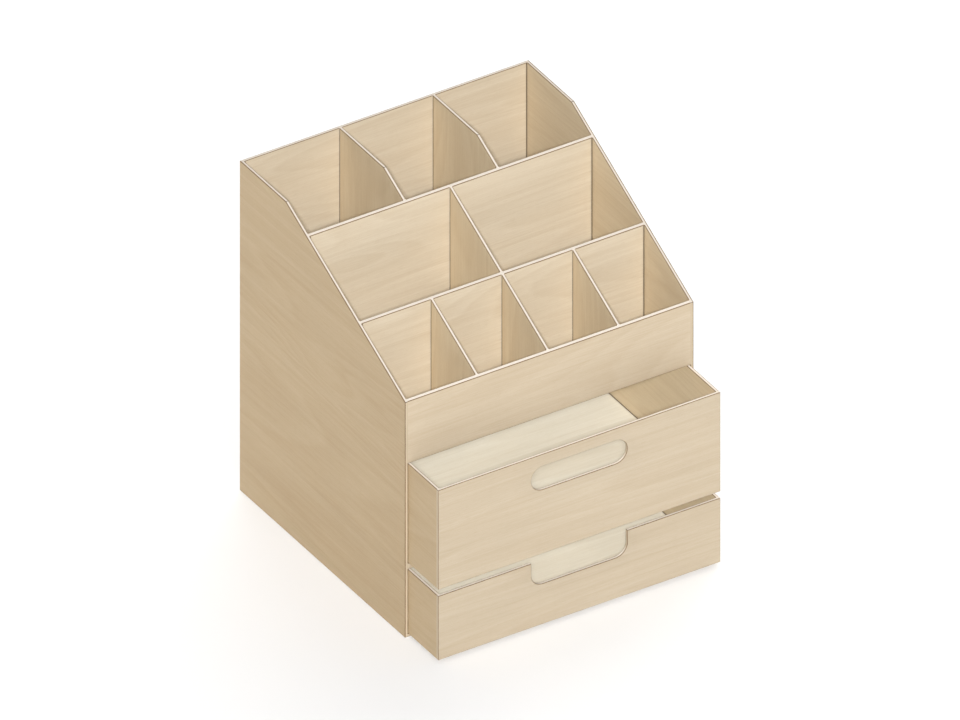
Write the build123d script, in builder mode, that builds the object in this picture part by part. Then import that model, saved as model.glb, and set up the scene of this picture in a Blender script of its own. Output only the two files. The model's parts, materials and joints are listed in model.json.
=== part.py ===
from build123d import *
import os

# Desktop drawer organizer glued up from thin board.
# Three stacked units: a low drawer casing, a taller drawer casing, and an open
# top tray whose rim falls from the back to the front.
# Frame: +Z up, the front faces -Y, +X to the right seen from the front.
# Origin: the centre of the underside of the lowest casing.

# ---------------------------------------------------------------- dimensions (mm)
board = 2.5                 # board thickness, the same everywhere
width = 240.0               # over the side boards
depth = 220.0               # case, front edge to back face
back_height = 280.0         # top of the level rear rim
front_height = 200.0        # top of the front apron
slope_length = 159.0        # depth of the sloping part of the rim, from the front

lower_casing_height = 60.0  # first unit, z 0 to 60
upper_casing_height = 90.0  # second unit, z 60 to 150

# drawers
side_gap = 0.2              # each side, drawer to casing
under_gap = 0.2             # drawer underside to casing floor
top_gap = 0.5               # drawer rim to casing top
back_gap = 0.5              # closed drawer to casing back
pulled_out = 40.0           # how far both drawers stand open at rest

finger_length = 80.0        # finger slot and finger notch, across the drawer front
finger_height = 20.0
finger_radius = 10.0
finger_slot_below_rim = 10.0

# tray partitions, as distances from the case's front or left outer face
front_row_y = 61.6          # front face of the front row divider
rear_row_y = 130.7          # front face of the rear row divider
front_cells_x = (59.85, 118.75, 177.65)   # left faces of the front row's dividers
middle_cell_x = 118.75
rear_cells_x = (81.3, 158.95)

# ---------------------------------------------------------------- derived
half_w = width / 2
half_d = depth / 2
inner_w = width - 2 * board
z1 = lower_casing_height
z2 = lower_casing_height + upper_casing_height
rim_rise = back_height - front_height


def rim(y):
    """Height of the tray's rim over a point y of the frame."""
    run = min(y + half_d, slope_length)
    return front_height + rim_rise * run / slope_length


drawer_w = inner_w - 2 * side_gap
drawer_d = depth - board - back_gap
drawer_front_y = -half_d - pulled_out
drawer_back_y = drawer_front_y + drawer_d
drawer_inner_d = drawer_d - 2 * board
drawer_mid_y = drawer_front_y + drawer_d / 2
upper_drawer_z = z1 + board + under_gap
upper_drawer_h = upper_casing_height - 2 * board - under_gap - top_gap
lower_drawer_z = board + under_gap
lower_drawer_h = lower_casing_height - 2 * board - under_gap - top_gap

front_row_front = front_row_y - half_d
front_row_back = front_row_front + board
rear_row_front = rear_row_y - half_d
rear_row_back = rear_row_front + board
tray_floor_top = z2 + board
break_y = slope_length - half_d
apron_back = -half_d + board
tray_back_face = half_d - board

os.makedirs("parts", exist_ok=True)

# ================================================================ lower casing
# Side boards stand outermost over the full depth; floor, top and back are glued
# between them.
with BuildPart() as lower_casing_left_side:
    with BuildSketch(Plane.YZ.offset(-half_w)):
        with Locations((0, z1 / 2)):
            Rectangle(depth, z1)
    extrude(amount=board)

with BuildPart() as lower_casing_right_side:
    with BuildSketch(Plane.YZ.offset(half_w - board)):
        with Locations((0, z1 / 2)):
            Rectangle(depth, z1)
    extrude(amount=board)

with BuildPart() as lower_casing_floor:
    with BuildSketch(Plane.XY):
        Rectangle(inner_w, depth)
    extrude(amount=board)

with BuildPart() as lower_casing_top:
    with BuildSketch(Plane.XY.offset(z1 - board)):
        Rectangle(inner_w, depth)
    extrude(amount=board)

with BuildPart() as lower_casing_back:
    with BuildSketch(Plane.XZ.offset(-half_d)):
        with Locations((0, z1 / 2)):
            Rectangle(inner_w, z1 - 2 * board)
    extrude(amount=board)

# ================================================================ upper casing
with BuildPart() as upper_casing_left_side:
    with BuildSketch(Plane.YZ.offset(-half_w)):
        with Locations((0, (z1 + z2) / 2)):
            Rectangle(depth, z2 - z1)
    extrude(amount=board)

with BuildPart() as upper_casing_right_side:
    with BuildSketch(Plane.YZ.offset(half_w - board)):
        with Locations((0, (z1 + z2) / 2)):
            Rectangle(depth, z2 - z1)
    extrude(amount=board)

with BuildPart() as upper_casing_floor:
    with BuildSketch(Plane.XY.offset(z1)):
        Rectangle(inner_w, depth)
    extrude(amount=board)

with BuildPart() as upper_casing_top:
    with BuildSketch(Plane.XY.offset(z2 - board)):
        Rectangle(inner_w, depth)
    extrude(amount=board)

with BuildPart() as upper_casing_back:
    with BuildSketch(Plane.XZ.offset(-half_d)):
        with Locations((0, (z1 + z2) / 2)):
            Rectangle(inner_w, z2 - z1 - 2 * board)
    extrude(amount=board)

# ================================================================ top tray
# The side boards carry the profile of the rim: level at the back, then one
# straight slope down to the apron.
with BuildPart() as tray_left_side:
    with BuildSketch(Plane.YZ.offset(-half_w)):
        with BuildLine():
            Polyline(
                (-half_d, z2),
                (half_d, z2),
                (half_d, back_height),
                (break_y, back_height),
                (-half_d, front_height),
                close=True,
            )
        make_face()
    extrude(amount=board)

with BuildPart() as tray_right_side:
    with BuildSketch(Plane.YZ.offset(half_w - board)):
        with BuildLine():
            Polyline(
                (-half_d, z2),
                (half_d, z2),
                (half_d, back_height),
                (break_y, back_height),
                (-half_d, front_height),
                close=True,
            )
        make_face()
    extrude(amount=board)

with BuildPart() as tray_back:
    with BuildSketch(Plane.XZ.offset(-half_d)):
        with Locations((0, (z2 + back_height) / 2)):
            Rectangle(inner_w, back_height - z2)
    extrude(amount=board)

# The floor lies inside the four walls.
with BuildPart() as tray_floor:
    with BuildSketch(Plane.XY.offset(z2)):
        Rectangle(inner_w, depth - 2 * board)
    extrude(amount=board)

# The apron and both row dividers have their top edges planed to the slope.
with BuildPart() as tray_front_apron:
    with BuildSketch(Plane.YZ.offset(-half_w + board)):
        with BuildLine():
            Polyline(
                (-half_d, z2),
                (apron_back, z2),
                (apron_back, rim(apron_back)),
                (-half_d, front_height),
                close=True,
            )
        make_face()
    extrude(amount=inner_w)

with BuildPart() as front_row_divider:
    with BuildSketch(Plane.YZ.offset(-half_w + board)):
        with BuildLine():
            Polyline(
                (front_row_front, tray_floor_top),
                (front_row_back, tray_floor_top),
                (front_row_back, rim(front_row_back)),
                (front_row_front, rim(front_row_front)),
                close=True,
            )
        make_face()
    extrude(amount=inner_w)

with BuildPart() as rear_row_divider:
    with BuildSketch(Plane.YZ.offset(-half_w + board)):
        with BuildLine():
            Polyline(
                (rear_row_front, tray_floor_top),
                (rear_row_back, tray_floor_top),
                (rear_row_back, rim(rear_row_back)),
                (rear_row_front, rim(rear_row_front)),
                close=True,
            )
        make_face()
    extrude(amount=inner_w)

# Short boards between the rows make the cells; their tops follow the rim.
with BuildPart() as front_cell_divider_left:
    with BuildSketch(Plane.YZ.offset(front_cells_x[0] - half_w)):
        with BuildLine():
            Polyline(
                (apron_back, tray_floor_top),
                (front_row_front, tray_floor_top),
                (front_row_front, rim(front_row_front)),
                (apron_back, rim(apron_back)),
                close=True,
            )
        make_face()
    extrude(amount=board)

with BuildPart() as front_cell_divider_centre:
    with BuildSketch(Plane.YZ.offset(front_cells_x[1] - half_w)):
        with BuildLine():
            Polyline(
                (apron_back, tray_floor_top),
                (front_row_front, tray_floor_top),
                (front_row_front, rim(front_row_front)),
                (apron_back, rim(apron_back)),
                close=True,
            )
        make_face()
    extrude(amount=board)

with BuildPart() as front_cell_divider_right:
    with BuildSketch(Plane.YZ.offset(front_cells_x[2] - half_w)):
        with BuildLine():
            Polyline(
                (apron_back, tray_floor_top),
                (front_row_front, tray_floor_top),
                (front_row_front, rim(front_row_front)),
                (apron_back, rim(apron_back)),
                close=True,
            )
        make_face()
    extrude(amount=board)

with BuildPart() as middle_cell_divider:
    with BuildSketch(Plane.YZ.offset(middle_cell_x - half_w)):
        with BuildLine():
            Polyline(
                (front_row_back, tray_floor_top),
                (rear_row_front, tray_floor_top),
                (rear_row_front, rim(rear_row_front)),
                (front_row_back, rim(front_row_back)),
                close=True,
            )
        make_face()
    extrude(amount=board)

with BuildPart() as rear_cell_divider_left:
    with BuildSketch(Plane.YZ.offset(rear_cells_x[0] - half_w)):
        with BuildLine():
            Polyline(
                (rear_row_back, tray_floor_top),
                (tray_back_face, tray_floor_top),
                (tray_back_face, back_height),
                (break_y, back_height),
                (rear_row_back, rim(rear_row_back)),
                close=True,
            )
        make_face()
    extrude(amount=board)

with BuildPart() as rear_cell_divider_right:
    with BuildSketch(Plane.YZ.offset(rear_cells_x[1] - half_w)):
        with BuildLine():
            Polyline(
                (rear_row_back, tray_floor_top),
                (tray_back_face, tray_floor_top),
                (tray_back_face, back_height),
                (break_y, back_height),
                (rear_row_back, rim(rear_row_back)),
                close=True,
            )
        make_face()
    extrude(amount=board)

# ================================================================ upper drawer
# Front and back boards run the full width; the sides stand between them and the
# bottom lies inside the four walls.
with BuildPart() as upper_drawer_front:
    with BuildSketch(Plane.XZ.offset(-drawer_front_y)):
        with Locations((0, upper_drawer_z + upper_drawer_h / 2)):
            Rectangle(drawer_w, upper_drawer_h)
        slot_z = upper_drawer_z + upper_drawer_h - finger_slot_below_rim
        with Locations((0, slot_z - finger_height / 2)):
            SlotOverall(finger_length, finger_height, mode=Mode.SUBTRACT)
    extrude(amount=-board)

with BuildPart() as upper_drawer_back:
    with BuildSketch(Plane.XZ.offset(-drawer_back_y)):
        with Locations((0, upper_drawer_z + upper_drawer_h / 2)):
            Rectangle(drawer_w, upper_drawer_h)
    extrude(amount=board)

with BuildPart() as upper_drawer_left_side:
    with BuildSketch(Plane.YZ.offset(-drawer_w / 2)):
        with Locations((drawer_mid_y, upper_drawer_z + upper_drawer_h / 2)):
            Rectangle(drawer_inner_d, upper_drawer_h)
    extrude(amount=board)

with BuildPart() as upper_drawer_right_side:
    with BuildSketch(Plane.YZ.offset(drawer_w / 2 - board)):
        with Locations((drawer_mid_y, upper_drawer_z + upper_drawer_h / 2)):
            Rectangle(drawer_inner_d, upper_drawer_h)
    extrude(amount=board)

with BuildPart() as upper_drawer_bottom:
    with BuildSketch(Plane.XY.offset(upper_drawer_z)):
        with Locations((0, drawer_mid_y)):
            Rectangle(drawer_w - 2 * board, drawer_inner_d)
    extrude(amount=board)

# ================================================================ lower drawer
# Its front is open at the rim: a notch with rounded bottom corners.
lower_rim = lower_drawer_z + lower_drawer_h
with BuildPart() as lower_drawer_front:
    with BuildSketch(Plane.XZ.offset(-drawer_front_y)):
        with BuildLine():
            Polyline(
                (-drawer_w / 2, lower_drawer_z),
                (drawer_w / 2, lower_drawer_z),
                (drawer_w / 2, lower_rim),
                (finger_length / 2, lower_rim),
                (finger_length / 2, lower_rim - finger_height),
                (-finger_length / 2, lower_rim - finger_height),
                (-finger_length / 2, lower_rim),
                (-drawer_w / 2, lower_rim),
                close=True,
            )
        make_face()
        fillet(vertices().group_by(Axis.Y)[1], radius=finger_radius)
    extrude(amount=-board)

with BuildPart() as lower_drawer_back:
    with BuildSketch(Plane.XZ.offset(-drawer_back_y)):
        with Locations((0, lower_drawer_z + lower_drawer_h / 2)):
            Rectangle(drawer_w, lower_drawer_h)
    extrude(amount=board)

with BuildPart() as lower_drawer_left_side:
    with BuildSketch(Plane.YZ.offset(-drawer_w / 2)):
        with Locations((drawer_mid_y, lower_drawer_z + lower_drawer_h / 2)):
            Rectangle(drawer_inner_d, lower_drawer_h)
    extrude(amount=board)

with BuildPart() as lower_drawer_right_side:
    with BuildSketch(Plane.YZ.offset(drawer_w / 2 - board)):
        with Locations((drawer_mid_y, lower_drawer_z + lower_drawer_h / 2)):
            Rectangle(drawer_inner_d, lower_drawer_h)
    extrude(amount=board)

with BuildPart() as lower_drawer_bottom:
    with BuildSketch(Plane.XY.offset(lower_drawer_z)):
        with Locations((0, drawer_mid_y)):
            Rectangle(drawer_w - 2 * board, drawer_inner_d)
    extrude(amount=board)

# ================================================================ labels and files
lower_casing_left_side.part.label = "lower_casing_left_side"
export_step(lower_casing_left_side.part, "parts/lower_casing_left_side.step")
lower_casing_right_side.part.label = "lower_casing_right_side"
export_step(lower_casing_right_side.part, "parts/lower_casing_right_side.step")
lower_casing_floor.part.label = "lower_casing_floor"
export_step(lower_casing_floor.part, "parts/lower_casing_floor.step")
lower_casing_top.part.label = "lower_casing_top"
export_step(lower_casing_top.part, "parts/lower_casing_top.step")
lower_casing_back.part.label = "lower_casing_back"
export_step(lower_casing_back.part, "parts/lower_casing_back.step")

upper_casing_left_side.part.label = "upper_casing_left_side"
export_step(upper_casing_left_side.part, "parts/upper_casing_left_side.step")
upper_casing_right_side.part.label = "upper_casing_right_side"
export_step(upper_casing_right_side.part, "parts/upper_casing_right_side.step")
upper_casing_floor.part.label = "upper_casing_floor"
export_step(upper_casing_floor.part, "parts/upper_casing_floor.step")
upper_casing_top.part.label = "upper_casing_top"
export_step(upper_casing_top.part, "parts/upper_casing_top.step")
upper_casing_back.part.label = "upper_casing_back"
export_step(upper_casing_back.part, "parts/upper_casing_back.step")

tray_left_side.part.label = "tray_left_side"
export_step(tray_left_side.part, "parts/tray_left_side.step")
tray_right_side.part.label = "tray_right_side"
export_step(tray_right_side.part, "parts/tray_right_side.step")
tray_back.part.label = "tray_back"
export_step(tray_back.part, "parts/tray_back.step")
tray_floor.part.label = "tray_floor"
export_step(tray_floor.part, "parts/tray_floor.step")
tray_front_apron.part.label = "tray_front_apron"
export_step(tray_front_apron.part, "parts/tray_front_apron.step")
front_row_divider.part.label = "front_row_divider"
export_step(front_row_divider.part, "parts/front_row_divider.step")
rear_row_divider.part.label = "rear_row_divider"
export_step(rear_row_divider.part, "parts/rear_row_divider.step")
front_cell_divider_left.part.label = "front_cell_divider_left"
export_step(front_cell_divider_left.part, "parts/front_cell_divider_left.step")
front_cell_divider_centre.part.label = "front_cell_divider_centre"
export_step(front_cell_divider_centre.part, "parts/front_cell_divider_centre.step")
front_cell_divider_right.part.label = "front_cell_divider_right"
export_step(front_cell_divider_right.part, "parts/front_cell_divider_right.step")
middle_cell_divider.part.label = "middle_cell_divider"
export_step(middle_cell_divider.part, "parts/middle_cell_divider.step")
rear_cell_divider_left.part.label = "rear_cell_divider_left"
export_step(rear_cell_divider_left.part, "parts/rear_cell_divider_left.step")
rear_cell_divider_right.part.label = "rear_cell_divider_right"
export_step(rear_cell_divider_right.part, "parts/rear_cell_divider_right.step")

upper_drawer_front.part.label = "upper_drawer_front"
export_step(upper_drawer_front.part, "parts/upper_drawer_front.step")
upper_drawer_back.part.label = "upper_drawer_back"
export_step(upper_drawer_back.part, "parts/upper_drawer_back.step")
upper_drawer_left_side.part.label = "upper_drawer_left_side"
export_step(upper_drawer_left_side.part, "parts/upper_drawer_left_side.step")
upper_drawer_right_side.part.label = "upper_drawer_right_side"
export_step(upper_drawer_right_side.part, "parts/upper_drawer_right_side.step")
upper_drawer_bottom.part.label = "upper_drawer_bottom"
export_step(upper_drawer_bottom.part, "parts/upper_drawer_bottom.step")

lower_drawer_front.part.label = "lower_drawer_front"
export_step(lower_drawer_front.part, "parts/lower_drawer_front.step")
lower_drawer_back.part.label = "lower_drawer_back"
export_step(lower_drawer_back.part, "parts/lower_drawer_back.step")
lower_drawer_left_side.part.label = "lower_drawer_left_side"
export_step(lower_drawer_left_side.part, "parts/lower_drawer_left_side.step")
lower_drawer_right_side.part.label = "lower_drawer_right_side"
export_step(lower_drawer_right_side.part, "parts/lower_drawer_right_side.step")
lower_drawer_bottom.part.label = "lower_drawer_bottom"
export_step(lower_drawer_bottom.part, "parts/lower_drawer_bottom.step")
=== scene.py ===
import json
import math
import random

import bmesh
import bpy
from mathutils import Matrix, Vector
from mathutils.geometry import tessellate_polygon


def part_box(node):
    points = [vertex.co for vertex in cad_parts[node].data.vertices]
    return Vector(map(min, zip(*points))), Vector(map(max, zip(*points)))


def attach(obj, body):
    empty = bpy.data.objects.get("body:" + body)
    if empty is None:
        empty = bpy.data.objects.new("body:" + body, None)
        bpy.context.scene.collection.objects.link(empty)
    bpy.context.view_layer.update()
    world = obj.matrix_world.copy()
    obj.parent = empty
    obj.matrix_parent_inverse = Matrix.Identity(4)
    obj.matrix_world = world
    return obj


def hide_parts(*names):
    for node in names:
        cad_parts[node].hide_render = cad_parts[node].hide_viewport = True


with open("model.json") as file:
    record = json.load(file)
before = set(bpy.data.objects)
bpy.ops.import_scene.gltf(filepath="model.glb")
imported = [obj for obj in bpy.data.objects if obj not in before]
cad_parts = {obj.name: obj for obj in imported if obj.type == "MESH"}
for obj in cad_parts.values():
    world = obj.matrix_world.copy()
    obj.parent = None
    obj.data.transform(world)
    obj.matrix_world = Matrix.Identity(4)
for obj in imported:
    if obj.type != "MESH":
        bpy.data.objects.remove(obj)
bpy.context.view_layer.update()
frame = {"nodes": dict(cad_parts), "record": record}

random.seed(1207)

MM = 0.001
BOARD = 2.5 * MM
FREE_W = 0.24 * MM      # softened arris of a free edge
JOINT_W = 0.72 * MM     # glue line where a board runs into another board's face
SEAM_W = 0.04 * MM      # flush joint between two boards
BAND = 0.56 * MM        # how far the browned arris reaches over the cut edge
DEEPER = (0.15 * MM, 0.27 * MM)     # how much further it reaches from the outside of the case's left and right sides
BORDER_W = 3.0 * MM      # strip of the broad face that wears and soils first
CORNER_TURN = math.radians(20)

record = frame["record"]
nodes = frame["nodes"]
bodies = record["behaviour"]["bodies"]
body_of = {n: b for b, names in bodies.items() for n in names}

# ------------------------------------------------------------------ solids of the frame
boxes = {n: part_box(n) for n in nodes}


def thin_axis(n):
    lo, hi = boxes[n]
    size = hi - lo
    return min(range(3), key=lambda k: size[k])


def planes_of(n):
    found = []
    me = nodes[n].data
    for p in me.polygons:
        nor = p.normal.copy()
        d = nor.dot(me.vertices[p.vertices[0]].co)
        if not any((nor - a).length < 1e-4 and abs(d - b) < 1e-7 for a, b in found):
            found.append((nor, d))
    return found


CURVED = {"upper_drawer_front", "lower_drawer_front"}
planes = {n: planes_of(n) for n in nodes if n not in CURVED}


def inside(n, p):
    lo, hi = boxes[n]
    if any(p[k] < lo[k] or p[k] > hi[k] for k in range(3)):
        return False
    return n in CURVED or all(nor.dot(p) < d for nor, d in planes[n])


def neighbours(n, a, b):
    lo = [min(a[k], b[k]) - 1.5 * MM for k in range(3)]
    hi = [max(a[k], b[k]) + 1.5 * MM for k in range(3)]
    out = []
    for m in bodies[body_of[n]]:
        if m == n:
            continue
        l, h = boxes[m]
        if all(l[k] <= hi[k] and h[k] >= lo[k] for k in range(3)):
            out.append(m)
    return out


def edge_class(near, p, n1, n2):
    """What meets the edge at p between a broad face (n1) and a cut edge (n2) of a board."""
    e = 0.4 * MM
    a = any(inside(m, p + e * n1 - e * n2) for m in near)
    b = any(inside(m, p + e * n2 - e * n1) for m in near)
    c = any(inside(m, p + e * n1 + e * n2) for m in near)
    if not (a or b or c):
        return "free"
    if not c:
        return "seam"
    if a and b:
        return "hidden"
    return "butted" if b else ("covered" if a else "free")


# how far the arris reaches over the broad face, and over the cut edge
WIDTH = {"free": FREE_W, "butted": JOINT_W, "covered": 0.1 * MM, "seam": SEAM_W, "hidden": SEAM_W}
DROP = {"free": FREE_W, "butted": 0.1 * MM, "covered": JOINT_W, "seam": SEAM_W, "hidden": SEAM_W}


# how much of the strip along each kind of edge is rubbed, and how much is darkened with painted corner shade
RUBBED = {"free": 1.0, "butted": 0.0, "covered": 0.0, "seam": 0.25, "hidden": 0.0}
JOINT_PAINTED_SHADE = {"free": 0.0, "butted": 1.0, "covered": 1.0, "seam": 0.0, "hidden": 0.0}


def runs(n, near, p0, p1, n1, n2):
    """[(from, to, class)] along an edge, split where a neighbour begins or ends."""
    length = (p1 - p0).length
    d = (p1 - p0) / length
    cuts = {0.0, length}
    for m in near:
        for corner in boxes[m]:
            for k in range(3):
                if abs(d[k]) > 1e-6:
                    s = (corner[k] - p0[k]) / d[k]
                    if 0.05 * MM < s < length - 0.05 * MM:
                        cuts.add(round(s, 7))
    cuts = sorted(cuts)
    out = []
    for s0, s1 in zip(cuts, cuts[1:]):
        c = edge_class(near, p0 + d * ((s0 + s1) / 2), n1, n2)
        if out and (out[-1][2] == c):
            out[-1] = (out[-1][0], s1, c)
        else:
            out.append((s0, s1, c))
    return out


def faces_inward(n, axis, up):
    """Whether a broad face looks into the organizer: every face that looks up, and any that another board faces."""
    if axis == 2 and up:
        return True
    lo, hi = boxes[n]
    mid = (lo + hi) / 2
    for m in bodies[body_of[n]]:
        if m == n:
            continue
        l, h = boxes[m]
        i, j = [k for k in range(3) if k != axis]
        if l[i] < mid[i] < h[i] and l[j] < mid[j] < h[j]:
            if (up and l[axis] > mid[axis]) or (not up and h[axis] < mid[axis]):
                return True
    return False


# ------------------------------------------------------------------ outlines
def uv_axes(axis):
    return [k for k in range(3) if k != axis]


def cap_points(n, axis, value):
    i, j = uv_axes(axis)
    found = []
    for v in nodes[n].data.vertices:
        if abs(v.co[axis] - value) < 1e-6:
            q = (round(v.co[i], 7), round(v.co[j], 7))
            if q not in found:
                found.append(q)
    return found


def convex_loop(points):
    cx = sum(p[0] for p in points) / len(points)
    cy = sum(p[1] for p in points) / len(points)
    ring = sorted(points, key=lambda p: math.atan2(p[1] - cy, p[0] - cx))
    start = min(range(len(ring)), key=lambda k: ring[k][0] + ring[k][1])
    return ring[start:] + ring[:start]


def arc(cx, cy, r, a0, a1, steps):
    return [
        (cx + r * math.cos(a0 + (a1 - a0) * k / steps), cy + r * math.sin(a0 + (a1 - a0) * k / steps))
        for k in range(steps + 1)
    ]


def front_loops(n):
    """The outer loop and the holes of a drawer front, read from its node: a slot or a notch with round corners."""
    lo, hi = boxes[n]
    pts = cap_points(n, 1, lo.y)
    inner = [p for p in pts if min(abs(p[0] - lo.x), abs(p[0] - hi.x)) > 1e-4]
    x0, x1 = min(p[0] for p in inner), max(p[0] for p in inner)
    z0, z1 = min(p[1] for p in inner), max(p[1] for p in inner)
    outer = [(lo.x, lo.z), (hi.x, lo.z), (hi.x, hi.z), (lo.x, hi.z)]
    q = math.pi / 2
    if z1 < hi.z - 1e-4:
        r = (z1 - z0) / 2
        zc = (z0 + z1) / 2
        hole = arc(x1 - r, zc, r, -q, q, 40)[:-1] + [(x1 - r, z1)]
        hole += arc(x0 + r, zc, r, q, 3 * q, 40)[:-1] + [(x0 + r, z0)]
        return outer, [hole]
    r = 10 * MM
    loop = [(lo.x, lo.z), (hi.x, lo.z), (hi.x, hi.z), (x1, hi.z)]
    loop += arc(x1 - r, z0 + r, r, 0, -q, 24)
    loop += arc(x0 + r, z0 + r, r, -q, -2 * q, 24)
    loop += [(x0, hi.z), (lo.x, hi.z)]
    return loop, []


# ------------------------------------------------------------------ boards
FACE, EDGE, ARRIS, INNER, SEAM = range(5)
SLOT = {"free": ARRIS, "butted": INNER, "covered": INNER, "seam": SEAM, "hidden": SEAM}
CUT_SLOT = {"free": INNER, "butted": INNER, "covered": INNER, "seam": SEAM, "hidden": SEAM}


def solve_inset(ia, ib, wa, wb):
    det = ia[0] * ib[1] - ia[1] * ib[0]
    if abs(det) < 1e-3:
        return ((ia[0] * wa + ib[0] * wb) / 2, (ia[1] * wa + ib[1] * wb) / 2)
    return ((wa * ib[1] - wb * ia[1]) / det, (ia[0] * wb - ib[0] * wa) / det)


class Loop:
    """One outline of a board: for each side of it and each of the two broad faces, the points on the broad face and
    on the cut edge that a narrow chamfer joins."""

    def __init__(self, maker, low, high):
        self.maker, self.rings = maker, [low, high]
        n, axis = maker.n, maker.axis
        i, j = uv_axes(axis)
        m = len(low)
        area = sum(low[k][0] * low[(k + 1) % m][1] - low[(k + 1) % m][0] * low[k][1] for k in range(m))
        self.turn = 1 if area > 0 else -1
        solid_inside = self.turn if not maker.hole else -self.turn

        def place(p, cap):
            v = Vector((0, 0, 0))
            v[i], v[j], v[axis] = p[0], p[1], maker.level[cap]
            return v

        self.at = [[place(p, c) for p in ring] for c, ring in enumerate(self.rings)]
        dirs, inward = [], []
        for k in range(m):
            a, b = low[k], low[(k + 1) % m]
            dx, dy = b[0] - a[0], b[1] - a[1]
            l = math.hypot(dx, dy)
            dirs.append((dx / l, dy / l))
            inward.append((-dy / l * solid_inside, dx / l * solid_inside))
        self.corner = []
        for k in range(m):
            a, b = dirs[k - 1], dirs[k]
            self.corner.append(abs(math.atan2(a[0] * b[1] - a[1] * b[0], a[0] * b[0] + a[1] * b[1])) > CORNER_TURN)
        # outer normal of each wall, and the way along it from one broad face to the other
        self.walls = []
        for k in range(m):
            a, b = self.at[0][k], self.at[0][(k + 1) % m]
            e = (b - a).normalized()
            up = self.at[1][k] - a
            up = (up - e * up.dot(e)).normalized()
            nor = e.cross(up)
            inw = Vector((0, 0, 0))
            inw[i], inw[j] = inward[k]
            if nor.dot(inw) > 0:
                nor = -nor
            self.walls.append((e, up, nor))
        cap_normal = [Vector((0, 0, 0)), Vector((0, 0, 0))]
        cap_normal[0][axis], cap_normal[1][axis] = -1, 1
        # chamfer of the short edges across the board at each corner
        self.cut = []
        for k in range(m):
            if not self.corner[k]:
                self.cut.append((0.0, "free"))
                continue
            p = (self.at[0][k] + self.at[1][k]) / 2
            near = neighbours(n, p, p)
            c = edge_class(near, p, self.walls[k - 1][2], self.walls[k][2])
            self.cut.append((min(WIDTH[c], DROP[c]), c))
        # samples along each side on each broad face: (distance, width, drop, class that follows)
        self.samples = [[], []]
        for cap in (0, 1):
            for k in range(m):
                p0, p1 = self.at[cap][k], self.at[cap][(k + 1) % m]
                length = (p1 - p0).length
                s0, s1 = self.cut[k][0], length - self.cut[(k + 1) % m][0]
                if maker.plain:
                    self.samples[cap].append([(s0, FREE_W, FREE_W, "free"), (s1, FREE_W, FREE_W, None)])
                    continue
                near = neighbours(n, p0, p1)
                parts = runs(n, near, p0, p1, cap_normal[cap], self.walls[k][2])
                first, last = parts[0][2], parts[-1][2]
                row = [(s0, WIDTH[first], DROP[first], first)]
                t = 0.12 * MM
                for (_, x, ca), (_, _, cb) in zip(parts, parts[1:]):
                    wa, wb = WIDTH[ca], WIDTH[cb]
                    if abs(wa - wb) < 1e-9:
                        row.append((x, wb, DROP[cb], cb))
                    else:
                        row.append((x - t, wa, DROP[ca], ca if wa > wb else cb))
                        row.append((x + t, wb, DROP[cb], cb))
                row.append((s1, WIDTH[last], DROP[last], None))
                row = [r for r in row if s0 - 1e-9 <= r[0] <= s1 + 1e-9]
                self.samples[cap].append(row)
        # the points themselves
        bm = maker.bm
        self.face_pts = [[], []]
        self.wall_pts = [[], []]
        self.band_pts = [[], []]
        self.border_pts = [[], []]
        for cap in (0, 1):
            sign = 1 if cap == 0 else -1
            corners = []
            for k in range(m):
                wa = self.samples[cap][k - 1][-1][1]
                wb = self.samples[cap][k][0][1]
                f = solve_inset(inward[k - 1], inward[k], wa, wb)
                v = self.at[cap][k].copy()
                v[i] += f[0]
                v[j] += f[1]
                corners.append(bm.verts.new(v))
            for k in range(m):
                e, up, _ = self.walls[k]
                p0 = self.at[cap][k]
                p1 = self.at[cap][(k + 1) % m]
                e_cap = (p1 - p0).normalized()
                inw = Vector((0, 0, 0))
                inw[i], inw[j] = inward[k]
                row = self.samples[cap][k]
                face_row, wall_row, band_row = [], [], []
                for idx, (s, w, drop, _) in enumerate(row):
                    if idx == 0:
                        face_row.append(corners[k])
                    elif idx == len(row) - 1:
                        face_row.append(corners[(k + 1) % m])
                    else:
                        face_row.append(bm.verts.new(p0 + e_cap * s + inw * w))
                    wall_row.append(bm.verts.new(p0 + e_cap * s + up * (drop * sign)))
                    band_row.append(bm.verts.new(p0 + e_cap * s + up * (maker.band[cap] * sign)))
                self.face_pts[cap].append(face_row)
                self.wall_pts[cap].append(wall_row)
                self.band_pts[cap].append(band_row)
            # the inner line of the border strip
            inner = []
            for k in range(m):
                f = solve_inset(inward[k - 1], inward[k], BORDER_W, BORDER_W)
                v = self.at[cap][k].copy()
                v[i] += f[0]
                v[j] += f[1]
                inner.append(bm.verts.new(v))
            for k in range(m):
                p0 = self.at[cap][k]
                e_cap = (self.at[cap][(k + 1) % m] - p0).normalized()
                inw = Vector((0, 0, 0))
                inw[i], inw[j] = inward[k]
                end = inner[(k + 1) % m]
                reach = (end.co - p0).dot(e_cap)
                last = (inner[k].co - p0).dot(e_cap)
                border_row = [inner[k]]
                for s, *_ in self.samples[cap][k][1:-1]:
                    if s >= reach - 0.05 * MM:
                        border_row.append(end)
                    elif s <= last + 0.05 * MM:
                        border_row.append(border_row[-1])
                    else:
                        border_row.append(bm.verts.new(p0 + e_cap * s + inw * BORDER_W))
                        last = s
                self.border_pts[cap].append(border_row + [end])
            # smooth vertices of a curve share their point on the wall
            for k in range(m):
                if self.corner[k]:
                    continue
                for pts in (self.wall_pts[cap], self.band_pts[cap]):
                    a, b = pts[k - 1][-1], pts[k][0]
                    a.co = (a.co + b.co) / 2
                    pts[k][0] = a
                    bm.verts.remove(b)
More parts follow.
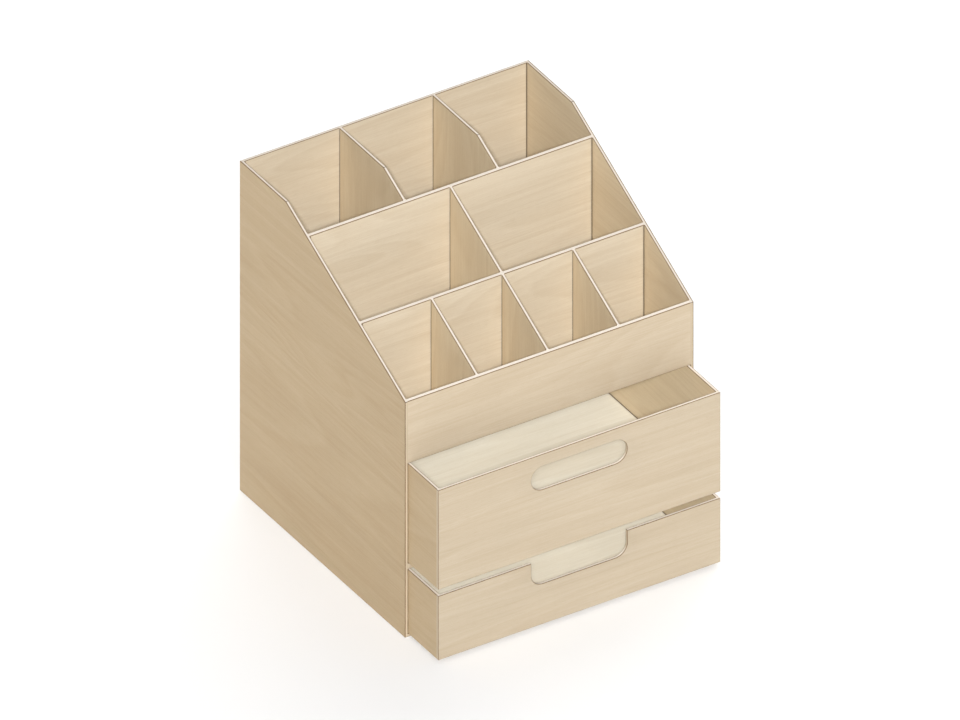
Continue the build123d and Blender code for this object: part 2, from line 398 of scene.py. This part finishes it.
        # chamfers, bands, walls and corner cuts
        for cap in (0, 1):
            for k in range(m):
                row = self.samples[cap][k]
                f, w, b = self.face_pts[cap][k], self.wall_pts[cap][k], self.band_pts[cap][k]
                g = self.border_pts[cap][k]
                for x in range(len(row) - 1):
                    c = row[x][3]
                    maker.face([f[x], f[x + 1], g[x + 1], g[x]], FACE, ("face", cap, (c, f[x], f[x + 1])))
                    maker.face([f[x], f[x + 1], w[x + 1], w[x]], SLOT[c], ("edge", k, self))
                    maker.face(
                        [w[x], w[x + 1], b[x + 1], b[x]], ARRIS if c == "free" else EDGE, ("edge", k, self)
                    )
                if self.corner[k]:
                    w0, b0 = self.wall_pts[cap][k - 1][-1], self.band_pts[cap][k - 1][-1]
                    c = CUT_SLOT[self.cut[k][1]]
                    maker.face([f[0], w[0], w0], c, ("edge", k, self))
                    maker.face([w[0], b[0], b0, w0], c, ("edge", k, self))
        for k in range(m):
            low_row, high_row = self.band_pts[0][k], self.band_pts[1][k]
            maker.face(low_row + high_row[::-1], EDGE, ("edge", k, self))
            if self.corner[k]:
                maker.face(
                    [self.band_pts[0][k - 1][-1], low_row[0], high_row[0], self.band_pts[1][k - 1][-1]],
                    CUT_SLOT[self.cut[k][1]],
                    ("edge", k, self),
                )

    def ring(self, cap):
        out = []
        for row in self.border_pts[cap]:
            for v in row:
                if v not in out:
                    out.append(v)
        return out


OUTSIDE = ["_left_side", "_right_side"]


class Maker:
    def __init__(self, n):
        self.n, self.axis = n, thin_axis(n)
        lo, hi = boxes[n]
        self.level = (lo[self.axis], hi[self.axis])
        self.bm = bmesh.new()
        self.roles = []
        self.hole = self.plain = False
        outside = [body_of[n] == "case" and n.endswith(OUTSIDE[c]) for c in (0, 1)]
        self.band = [BAND + (DEEPER[c] if outside[c] else 0.0) for c in (0, 1)]

    def face(self, verts, slot, role):
        seen = []
        for v in verts:
            if v not in seen:
                seen.append(v)
        if len(seen) < 3:
            return
        f = self.bm.faces.new(seen)
        f.material_index = slot
        self.roles.append((f, role))


def make_board(n):
    mk = Maker(n)
    axis = mk.axis
    i, j = uv_axes(axis)
    lo, hi = boxes[n]
    if n in CURVED:
        outer, holes = front_loops(n)
        loops = [Loop(mk, outer, outer)]
        mk.hole = mk.plain = True
        loops += [Loop(mk, h, h) for h in holes]
        mk.hole = mk.plain = False
    else:
        low = convex_loop(cap_points(n, axis, mk.level[0]))
        high = convex_loop(cap_points(n, axis, mk.level[1]))
        loops = [Loop(mk, low, high)]
    for cap in (0, 1):
        rings = [l.ring(cap) for l in loops]
        if len(rings) == 1 and n not in CURVED:
            mk.face(rings[0], FACE, ("face", cap, None))
        else:
            flat = [v for r in rings for v in r]
            for tri in tessellate_polygon([[v.co for v in r] for r in rings]):
                mk.face([flat[t] for t in tri], FACE, ("face", cap, None))
    bm = mk.bm
    bm.verts.index_update()
    bmesh.ops.recalc_face_normals(bm, faces=bm.faces)
    # coordinates for the grain: u along the fibres and v across them, in metres
    size = hi - lo
    along = i if size[i] >= size[j] else j
    across = j if along == i else i
    rnd = random.Random(n)
    ou, ov = rnd.uniform(0, 9), rnd.uniform(0, 9)
    uv = bm.loops.layers.uv.new("grain")
    rubbed = bm.loops.layers.float.new("rubbed")
    joint_painted_shade = bm.loops.layers.float.new("joint_painted_shade")
    for f, (kind, k, loop) in mk.roles:
        for l in f.loops:
            p = l.vert.co
            if kind == "face":
                l[uv].uv = (p[along] + ou, p[across] + ov + (0.4 if k else 0.0))
                if loop and l.vert in loop[1:]:
                    l[rubbed], l[joint_painted_shade] = RUBBED[loop[0]], JOINT_PAINTED_SHADE[loop[0]]
            else:
                e = loop.walls[k][0]
                l[uv].uv = (p.dot(e) + ou + 0.7 * k, p[axis] - lo[axis])
        f.smooth = True
    me = bpy.data.meshes.new(n + "_board")
    bm.to_mesh(me)
    bm.free()
    me.set_sharp_from_angle(angle=math.radians(25))
    count = len(me.vertices)
    # each board's random tone, plus the painted light and shade listed per board
    tone_and_painted_light = me.attributes.new("tone_and_painted_light", "FLOAT", "POINT")
    tone_and_painted_light.data.foreach_set("value", [rnd.uniform(-1, 1) + BOARD_PAINTED_LIGHT.get(n, 0.0)] * count)
    # end grain shows on the cut edges that lie across the fibres
    grain_axis = Vector((0, 0, 0))
    grain_axis[along] = 1
    end = me.attributes.new("end_grain", "FLOAT", "FACE")
    values = []
    for p in me.polygons:
        values.append(min(1.0, abs(p.normal.dot(grain_axis))))
    end.data.foreach_set("value", values)
    # painted light: the cut edges that face up are painted paler, as if lit from above
    rim = me.attributes.new("rim", "FLOAT", "FACE")
    rim.data.foreach_set("value", [min(1.0, max(0.0, (p.normal.z - 0.30) / 0.50)) for p in me.polygons])
    # painted light: the drawers' up-facing rims are painted paler still, against the shade that the casings cast on
    # them
    drawer_rim_painted_light = me.attributes.new("drawer_rim_painted_light", "FLOAT", "FACE")
    drawer_rim_painted_light.data.foreach_set("value", [DRAWER_RIM_PAINTED_LIGHT if body_of[n] != "case" else 0.0] * len(me.polygons))
    # where the arris is browned further over the cut edge
    deep = me.attributes.new("deep", "FLOAT", "FACE")
    mid = (mk.level[0] + mk.level[1]) / 2
    deep.data.foreach_set("value", [mk.band[1 if p.center[axis] > mid else 0] - BAND for p in me.polygons])
    # marks the faces that take the paler, painted-light colour
    looks_in = [faces_inward(n, axis, c == 1) for c in (0, 1)]
    inner = me.attributes.new("inner", "FLOAT", "FACE")
    inner.data.foreach_set(
        "value",
        [1.0 if p.material_index == FACE and looks_in[1 if p.normal[axis] > 0 else 0] else 0.0 for p in me.polygons],
    )
    o = bpy.data.objects.new(n + "_board", me)
    bpy.context.scene.collection.objects.link(o)
    return o


# ------------------------------------------------------------------ materials
def new_material(name):
    m = bpy.data.materials.new(name)
    m.use_nodes = True
    t = m.node_tree
    t.nodes.clear()
    out = t.nodes.new("ShaderNodeOutputMaterial")
    b = t.nodes.new("ShaderNodeBsdfPrincipled")
    t.links.new(b.outputs["BSDF"], out.inputs["Surface"])
    return m, t, b


def node(t, kind, **kw):
    x = t.nodes.new(kind)
    for k, v in kw.items():
        if k.startswith("in_"):
            x.inputs[k[3:].replace("_", " ")].default_value = v
        else:
            setattr(x, k, v)
    return x


def math_node(t, op, a, b=None, c=None, clamp=False):
    x = t.nodes.new("ShaderNodeMath")
    x.operation = op
    x.use_clamp = clamp
    for idx, v in enumerate((a, b, c)):
        if v is None:
            continue
        if isinstance(v, (int, float)):
            x.inputs[idx].default_value = v
        else:
            t.links.new(v, x.inputs[idx])
    return x.outputs[0]


def stretched(t, uv, su, sv, z=0.0):
    """The grain coordinates scaled by su along the fibres and sv across them."""
    sep = t.nodes.new("ShaderNodeSeparateXYZ")
    t.links.new(uv, sep.inputs[0])
    com = t.nodes.new("ShaderNodeCombineXYZ")
    t.links.new(math_node(t, "MULTIPLY", sep.outputs[0], su), com.inputs[0])
    t.links.new(math_node(t, "MULTIPLY", sep.outputs[1], sv), com.inputs[1])
    com.inputs[2].default_value = z
    return com.outputs[0]


def noise(t, vec, scale=1.0, detail=2.0, rough=0.5, distortion=0.0):
    x = t.nodes.new("ShaderNodeTexNoise")
    x.noise_dimensions = "3D"
    x.inputs["Scale"].default_value = scale
    x.inputs["Detail"].default_value = detail
    x.inputs["Roughness"].default_value = rough
    x.inputs["Distortion"].default_value = distortion
    t.links.new(vec, x.inputs["Vector"])
    return x.outputs["Fac"]


def remap(t, v, a, b, c, d, clamp=True):
    x = t.nodes.new("ShaderNodeMapRange")
    x.clamp = clamp
    t.links.new(v, x.inputs["Value"])
    for name, val in zip(("From Min", "From Max", "To Min", "To Max"), (a, b, c, d)):
        x.inputs[name].default_value = val
    return x.outputs[0]


def tinted(t, colour, factor):
    """colour times a grey factor socket."""
    x = t.nodes.new("ShaderNodeMix")
    x.data_type = "RGBA"
    x.blend_type = "MULTIPLY"
    x.inputs["Factor"].default_value = 1.0
    if isinstance(colour, tuple):
        x.inputs["A"].default_value = (*colour, 1)
    else:
        t.links.new(colour, x.inputs["A"])
    com = t.nodes.new("ShaderNodeCombineColor")
    for k in range(3):
        t.links.new(factor, com.inputs[k])
    t.links.new(com.outputs[0], x.inputs["B"])
    return x.outputs["Result"]


def mixed(t, fac, a, b):
    x = t.nodes.new("ShaderNodeMix")
    x.data_type = "RGBA"
    if isinstance(fac, (int, float)):
        x.inputs["Factor"].default_value = fac
    else:
        t.links.new(fac, x.inputs["Factor"])
    for name, v in (("A", a), ("B", b)):
        if isinstance(v, tuple):
            x.inputs[name].default_value = (*v, 1)
        else:
            t.links.new(v, x.inputs[name])
    return x.outputs["Result"]


def attribute(t, name):
    x = t.nodes.new("ShaderNodeAttribute")
    x.attribute_name = name
    return x.outputs["Fac"]


def grain_uv(t):
    x = t.nodes.new("ShaderNodeUVMap")
    x.uv_map = "grain"
    return x.outputs["UV"]


def add(t, *values):
    total = values[0]
    for v in values[1:]:
        total = math_node(t, "ADD", total, v)
    return total


def bump(t, height, strength, distance):
    x = t.nodes.new("ShaderNodeBump")
    x.inputs["Strength"].default_value = strength
    x.inputs["Distance"].default_value = distance
    t.links.new(height, x.inputs["Height"])
    return x.outputs["Normal"]


FACE_TONE = (0.658, 0.555, 0.413)
FACE_DARK = (0.550, 0.434, 0.297)
EDGE_TONE = (0.545, 0.450, 0.325)
UP_EDGE_PAINTED_LIGHT = (0.700, 0.634, 0.555)
DRAWER_RIM_PAINTED_LIGHT = 0.20
ARRIS_TONE = (0.185, 0.118, 0.062)
SKY_LOW, SKY_HIGH = 0.10, 0.36
FILL = (-32, 34, 3.35, (1.0, 1.0, 1.0), 3)
WASH = (-32, 34, 2.70, (1.0, 1.0, 1.0), 3)
OVERHEAD = (0, 88, 0.40, (1.0, 1.0, 0.99), 75)
KEY = (-12, 42, 0.34, (1.0, 1.0, 1.0), 24)
BACK = (138, 32, 1.25, (1.0, 0.99, 0.97), 60)
BOUNCE = (-32, 34, 4.65, (0.893, 0.945, 1.0), 3)
# painted light and shade by facing: boards that stand front to back, the sides, are painted darker and warmer as if
# in shade; boards that lie flat are painted paler as if lit from above
FACING_PAINTED_LIGHT = {0: (0.785, 0.727, 0.618), 1: (0.810, 0.820, 0.830), 2: (1.02, 1.06, 1.10)}
BACK_SHEET = (0.830, 0.785, 0.705)
# painted light: the faces that look into the organizer are painted paler than the outer ones, the floors most,
# against the shade in the cells and drawers
INWARD_PAINTED_LIGHT = {0: (1.07, 1.07, 1.02), 1: (1.08, 1.13, 1.19), 2: (1.25, 1.38, 1.55)}
# painted light and shade per board: the apron is painted paler against its shade, the drawers' fronts and backs a
# little darker; the drawers' bottoms are greyed, since the bounce lights them as well
BOARD_PAINTED_LIGHT = {"tray_front_apron": 8.0, "upper_drawer_front": -1.0, "lower_drawer_front": -1.0,
         "upper_drawer_bottom": -30.0, "lower_drawer_bottom": -30.0, "upper_drawer_back": -4.0, "lower_drawer_back": -4.0}


def scaled(a, b):
    return tuple(x * y for x, y in zip(a, b))


def face_material(sheet, handled=None, outer=None):
    m, t, b = new_material("board_face_%d" % sheet + ("_handled" if handled else "") + ("_back" if outer else ""))
    uv = grain_uv(t)
    tone_and_painted_light = attribute(t, "tone_and_painted_light")
    # contour-like figure of peeled veneer, long streaks, fine fibre, short dark pores and pale rays
    swell = noise(t, stretched(t, uv, 2.2, 17.0, 1.3), detail=1.5, rough=0.4, distortion=0.6)
    rings = math_node(t, "FRACT", math_node(t, "MULTIPLY", swell, 15.0))
    figure = math_node(t, "MULTIPLY", remap(t, rings, 0.0, 0.82, 0.0, 1.0), remap(t, rings, 0.82, 1.0, 1.0, 0.0))
    drift = noise(t, stretched(t, uv, 1.8, 14.0, 4.4), detail=2, rough=0.5)
    band = noise(t, stretched(t, uv, 5.0, 190.0, 2.7), detail=3, rough=0.55, distortion=0.3)
    streak = noise(t, stretched(t, uv, 8.0, 1000.0), detail=5, rough=0.7, distortion=0.2)
    fibre = noise(t, stretched(t, uv, 70.0, 4200.0, 3.1), detail=4, rough=0.7)
    mottle = noise(t, stretched(t, uv, 18.0, 36.0, 7.7), detail=3, rough=0.5)
    pores = noise(t, stretched(t, uv, 150.0, 4600.0, 5.9), detail=1, rough=0.5)
    pore = remap(t, pores, 0.64, 0.70, 0.0, 1.0)
    rays = noise(t, stretched(t, uv, 600.0, 1500.0, 8.4), detail=1, rough=0.5)
    ray = remap(t, rays, 0.66, 0.74, 0.0, 1.0)
    dark = add(
        t,
        math_node(t, "MULTIPLY", figure, 0.26),
        remap(t, drift, 0.35, 0.65, 0.0, 0.16),
        remap(t, band, 0.36, 0.68, 0.0, 0.22),
        remap(t, streak, 0.40, 0.64, 0.0, 0.30),
        remap(t, fibre, 0.38, 0.66, 0.0, 0.28),
        math_node(t, "MULTIPLY", pore, 0.60),
        math_node(t, "MULTIPLY", ray, -0.18),
    )
    dark = math_node(t, "MINIMUM", math_node(t, "MAXIMUM", dark, 0.0), 1.0)
    # the outer faces take the painted light or shade of the way the board faces
    outer = outer or FACING_PAINTED_LIGHT[sheet]
    colour = mixed(t, dark, scaled(FACE_TONE, outer), scaled(FACE_DARK, outer))
    # painted light: faces that look into the organizer take a paler copy of the colour
    inward_lit = mixed(t, dark, scaled(FACE_TONE, INWARD_PAINTED_LIGHT[sheet]), scaled(FACE_DARK, INWARD_PAINTED_LIGHT[sheet]))
    colour = mixed(t, attribute(t, "inner"), colour, inward_lit)
    # the strip along a free edge is rubbed paler and smoother in places and a little darker right at the edge; the
    # strip along a glued joint is darkened with painted corner shade and made rougher
    rub = attribute(t, "rubbed")
    joint_shade = attribute(t, "joint_painted_shade")
    scuffs = remap(t, noise(t, stretched(t, uv, 55.0, 260.0, 6.6), detail=3, rough=0.6), 0.42, 0.62, 0.0, 1.0)
    rub_wide = math_node(t, "MULTIPLY", rub, rub)
    rub_tight = math_node(t, "POWER", rub, 5.0)
    joint_shade_tight = math_node(t, "POWER", joint_shade, 4.0)
    scuffed = math_node(t, "MULTIPLY", rub_wide, scuffs)
    factor = add(
        t,
        remap(t, mottle, 0.3, 0.7, 0.985, 1.015),
        math_node(t, "MULTIPLY", tone_and_painted_light, 0.012),
        math_node(t, "MULTIPLY", scuffed, 0.05),
        math_node(t, "MULTIPLY", rub_tight, -0.10),
        math_node(t, "MULTIPLY", joint_shade_tight, -0.34),
    )
    rough = remap(t, fibre, 0.3, 0.7, 0.50, 0.64)
    rough = add(t, rough, math_node(t, "MULTIPLY", scuffed, -0.08), math_node(t, "MULTIPLY", joint_shade_tight, 0.15))
    if handled:
        # fingers darken and polish the board round the pull
        cx, cz, half, r, reach = handled
        geo = t.nodes.new("ShaderNodeTexCoord")
        sep = t.nodes.new("ShaderNodeSeparateXYZ")
        t.links.new(geo.outputs["Object"], sep.inputs[0])
        off = math_node(t, "ABSOLUTE", math_node(t, "SUBTRACT", sep.outputs[0], cx))
        dx = math_node(t, "MAXIMUM", math_node(t, "SUBTRACT", off, half), 0.0)
        dz = math_node(t, "SUBTRACT", sep.outputs[2], cz)
        square = add(t, math_node(t, "MULTIPLY", dx, dx), math_node(t, "MULTIPLY", dz, dz))
        d = math_node(t, "SUBTRACT", math_node(t, "SQRT", square), r)
        ragged = add(t, d, remap(t, mottle, 0.2, 0.8, -0.006, 0.006, clamp=False))
        touch = remap(t, ragged, 0.0, reach, 1.0, 0.0)
        touch = math_node(t, "MULTIPLY", touch, touch)
        shade = math_node(t, "SUBTRACT", 1.0, math_node(t, "MULTIPLY", touch, 0.03))
        factor = math_node(t, "MULTIPLY", factor, shade)
        rough = math_node(t, "SUBTRACT", rough, math_node(t, "MULTIPLY", touch, 0.12))
    t.links.new(tinted(t, colour, factor), b.inputs["Base Color"])
    t.links.new(rough, b.inputs["Roughness"])
    b.inputs["Specular IOR Level"].default_value = 0.35
    height = add(
        t,
        math_node(t, "MULTIPLY", fibre, 0.7),
        math_node(t, "MULTIPLY", streak, 0.5),
        math_node(t, "MULTIPLY", pore, -0.9),
    )
    t.links.new(bump(t, height, 0.35, 0.0001), b.inputs["Normal"])
    return m


def edge_material():
    m, t, b = new_material("board_cut_edge")
    uv = grain_uv(t)
    tone_and_painted_light = attribute(t, "tone_and_painted_light")
    end = attribute(t, "end_grain")
    sep = t.nodes.new("ShaderNodeSeparateXYZ")
    t.links.new(uv, sep.inputs[0])
    # three plies: the middle one turned a quarter, so it shows the other grain
    wob = noise(t, stretched(t, uv, 160.0, 0.0, 2.2), detail=2)
    v = add(t, sep.outputs[1], remap(t, wob, 0.0, 1.0, -0.00007, 0.00007, clamp=False))
    off = math_node(t, "ABSOLUTE", math_node(t, "SUBTRACT", v, BOARD / 2))
    middle = remap(t, off, 0.00036, 0.00046, 1.0, 0.0)
    glue = math_node(t, "MULTIPLY", remap(t, math_node(t, "ABSOLUTE", math_node(t, "SUBTRACT", off, 0.00041)), 0.00002, 0.00007, 1.0, 0.0), 1.0)
    is_end = math_node(t, "ABSOLUTE", math_node(t, "SUBTRACT", end, middle))
    lines = noise(t, stretched(t, uv, 60.0, 5200.0, 1.0), detail=2, rough=0.6)
    dots = noise(t, stretched(t, uv, 3400.0, 3400.0, 4.0), detail=2, rough=0.6)
    texture = add(
        t,
        math_node(t, "MULTIPLY", lines, math_node(t, "SUBTRACT", 1.0, is_end)),
        math_node(t, "MULTIPLY", dots, is_end),
    )
    mottle = noise(t, stretched(t, uv, 90.0, 90.0, 9.0), detail=2)
    factor = add(
        t,
        remap(t, texture, 0.3, 0.7, 1.035, 0.945),
        math_node(t, "MULTIPLY", is_end, -0.065),
        math_node(t, "MULTIPLY", glue, -0.11),
        remap(t, mottle, 0.3, 0.7, -0.02, 0.02),
        math_node(t, "MULTIPLY", tone_and_painted_light, 0.008),
    )
    # painted light: up-facing cut edges are painted paler, the drawers' ones paler still
    rim = attribute(t, "rim")
    factor = add(t, factor, math_node(t, "MULTIPLY", rim, attribute(t, "drawer_rim_painted_light")))
    tone_rgb = mixed(t, rim, EDGE_TONE, UP_EDGE_PAINTED_LIGHT)
    t.links.new(tinted(t, tone_rgb, factor), b.inputs["Base Color"])
    t.links.new(remap(t, texture, 0.3, 0.7, 0.66, 0.82), b.inputs["Roughness"])
    b.inputs["Specular IOR Level"].default_value = 0.25
    t.links.new(bump(t, texture, 0.3, 0.00008), b.inputs["Normal"])
    return m


def arris_material(name, tone_rgb, ripple, worn_most, fades):
    m, t, b = new_material(name)
    uv = grain_uv(t)
    patch = noise(t, stretched(t, uv, 60.0, 300.0, 6.0), detail=3, rough=0.6)
    fine = noise(t, stretched(t, uv, 800.0, 2500.0, 2.0), detail=2)
    worn = remap(t, patch, 0.50, 0.76, 0.0, worn_most)
    if fades:
        # the browning is deepest on the arris itself and thins out over the cut edge
        sep = t.nodes.new("ShaderNodeSeparateXYZ")
        t.links.new(uv, sep.inputs[0])
        off = math_node(t, "ABSOLUTE", math_node(t, "SUBTRACT", sep.outputs[1], BOARD / 2))
        depth = math_node(t, "SUBTRACT", BOARD / 2, off)
        depth = math_node(t, "SUBTRACT", depth, attribute(t, "deep"))
        depth = add(t, depth, remap(t, fine, 0.25, 0.75, -0.00005, 0.00005, clamp=False))
        fade = remap(t, depth, FREE_W, BAND, 0.0, 0.85)
        worn = math_node(t, "MINIMUM", add(t, worn, fade), 1.0)
    colour = mixed(t, worn, tone_rgb, EDGE_TONE)
    factor = remap(t, fine, 0.3, 0.7, 1.0 - ripple, 1.0 + ripple)
    t.links.new(tinted(t, colour, factor), b.inputs["Base Color"])
    t.links.new(remap(t, fine, 0.3, 0.7, 0.55, 0.75), b.inputs["Roughness"])
    b.inputs["Specular IOR Level"].default_value = 0.2
    t.links.new(bump(t, fine, 0.2, 0.00005), b.inputs["Normal"])
    return m


face_mats = {k: face_material(k) for k in range(3)}
edge_mat = edge_material()
arris_mat = arris_material("board_arris", ARRIS_TONE, 0.10, 0.22, True)
inner_mat = arris_material("board_joint_line", (0.072, 0.046, 0.025), 0.10, 0.05, False)
seam_mat = arris_material("board_flush_seam", (0.50, 0.395, 0.275), 0.06, 0.10, False)

# ------------------------------------------------------------------ the object
pieces = {}
for n in sorted(nodes):
    o = make_board(n)
    for mat in (face_mats[thin_axis(n)], edge_mat, arris_mat, inner_mat, seam_mat):
        o.data.materials.append(mat)
    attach(o, body_of[n])
    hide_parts(n)
    pieces[n] = o

slot_pts = [p for p in cap_points("upper_drawer_front", 1, boxes["upper_drawer_front"][0].y) if abs(p[0]) < 0.06]
slot_z = (min(p[1] for p in slot_pts) + max(p[1] for p in slot_pts)) / 2
pieces["upper_drawer_front"].data.materials[FACE] = face_material(1, (0.0, slot_z, 0.030, 0.010, 0.022))
rim_z = boxes["lower_drawer_front"][1].z
lower_handled = face_material(1, (0.0, rim_z - 0.008, 0.030, 0.012, 0.023))
pieces["lower_drawer_front"].data.materials[FACE] = lower_handled
back_mat = face_material(1, outer=BACK_SHEET)
for n in ("lower_casing_back", "upper_casing_back", "tray_back"):
    pieces[n].data.materials[FACE] = back_mat

# ------------------------------------------------------------------ floor
floor_me = bpy.data.meshes.new("floor")
bm = bmesh.new()
s = 30.0
bm.faces.new([bm.verts.new(p) for p in ((-s, -s, 0), (s, -s, 0), (s, s, 0), (-s, s, 0))])
bm.to_mesh(floor_me)
bm.free()
floor = bpy.data.objects.new("floor", floor_me)
bpy.context.scene.collection.objects.link(floor)
fm, ft, fb = new_material("floor_paper")
cloud = noise(ft, node(ft, "ShaderNodeTexCoord").outputs["Object"], scale=3.0, detail=2)
tooth = noise(ft, node(ft, "ShaderNodeTexCoord").outputs["Object"], scale=900.0, detail=2)
ft.links.new(tinted(ft, (0.925, 0.932, 0.945), remap(ft, cloud, 0.3, 0.7, 0.997, 1.003)), fb.inputs["Base Color"])
ft.links.new(remap(ft, tooth, 0.3, 0.7, 0.86, 0.94), fb.inputs["Roughness"])
ft.links.new(bump(ft, tooth, 0.1, 0.0001), fb.inputs["Normal"])
fb.inputs["Specular IOR Level"].default_value = 0.1
floor_me.materials.append(fm)

# ------------------------------------------------------------------ light
# A broad overhead panel that is bright above and dim at the horizon.
world = bpy.data.worlds.new("studio")
bpy.context.scene.world = world
world.use_nodes = True
wt = world.node_tree
wt.nodes.clear()
wo = wt.nodes.new("ShaderNodeOutputWorld")
wb = wt.nodes.new("ShaderNodeBackground")
wsep = wt.nodes.new("ShaderNodeSeparateXYZ")
wt.links.new(wt.nodes.new("ShaderNodeTexCoord").outputs["Generated"], wsep.inputs[0])
# below the floor, where nothing of it reaches the object, the backdrop goes on as white as the floor
below = math_node(wt, "LESS_THAN", wsep.outputs[2], -0.002)
wt.links.new(add(wt, remap(wt, wsep.outputs[2], 0.0, 0.9, SKY_LOW, SKY_HIGH), below), wb.inputs["Strength"])
wb.inputs["Color"].default_value = (1.0, 0.975, 0.94, 1)
wt.links.new(wb.outputs[0], wo.inputs["Surface"])


def sun(name, azimuth, elevation, strength, colour, soft):
    """azimuth as the camera's: 0 comes from the front, positive from the right."""
    d = bpy.data.lights.new(name, "SUN")
    d.energy = strength
    d.color = colour
    d.angle = math.radians(soft)
    o = bpy.data.objects.new(name, d)
    a, e = math.radians(azimuth), math.radians(elevation)
    back = Vector((math.sin(a) * math.cos(e), -math.cos(a) * math.cos(e), math.sin(e)))
    o.rotation_mode = "QUATERNION"
    o.rotation_quaternion = (back).to_track_quat("Z", "Y")
    o.location = back * 3
    bpy.context.scene.collection.objects.link(o)
    return o


def limited(name, objects, state):
    """A collection for light linking that takes the objects in or leaves them out."""
    c = bpy.data.collections.new(name)
    for o in objects:
        c.objects.link(o)
    for entry in c.collection_objects:
        entry.light_linking.link_state = state
    return c


sun("key_softbox", *KEY)
fill = sun("fill_beside_camera", *FILL)
sun("panel_behind", *BACK)
# the front light is flagged off the floor; a shadowless wash and a broad overhead panel light the floor instead
fill.light_linking.receiver_collection = limited("all_but_the_floor", [floor], "EXCLUDE")
wash = sun("floor_wash", *WASH)
wash.light_linking.receiver_collection = limited("washed_floor", [floor], "INCLUDE")
wash.light_linking.blocker_collection = limited("nothing_but_the_floor", [floor], "INCLUDE")
overhead = sun("floor_overhead", *OVERHEAD)
overhead.light_linking.receiver_collection = limited("floor_under_the_panel", [floor], "INCLUDE")

# a bounce that no board blocks opens up the drawers' floors, which the casings and the tray shade
bounce = sun("bounce_into_drawers", *BOUNCE)
drawer_floors = [pieces["upper_drawer_bottom"], pieces["lower_drawer_bottom"]]
bounce.light_linking.receiver_collection = limited("drawer_floors", drawer_floors, "INCLUDE")
bounce.light_linking.blocker_collection = limited("nothing_over_the_drawers", [floor], "INCLUDE")

# ------------------------------------------------------------------ camera
cam_data = bpy.data.cameras.new("camera")
cam_data.type = "ORTHO"
cam_data.ortho_scale = 0.67697
cam_data.dof.use_dof = False
cam = bpy.data.objects.new("camera", cam_data)
bpy.context.scene.collection.objects.link(cam)
az, el = math.radians(-32), math.radians(34)
back = Vector((math.sin(az) * math.cos(el), -math.cos(az) * math.cos(el), math.sin(el)))
cam.rotation_mode = "QUATERNION"
cam.rotation_quaternion = (-back).to_track_quat("-Z", "Y")
cam.location = Vector((0.011064, -0.000054, 0.126632)) + back * 2.0
cam_data.clip_start, cam_data.clip_end = 0.05, 60
bpy.context.scene.camera = cam
bpy.context.scene.view_settings.view_transform = "Standard"
bpy.context.scene.view_settings.look = "None"
bpy.context.scene.view_settings.exposure = 0.0
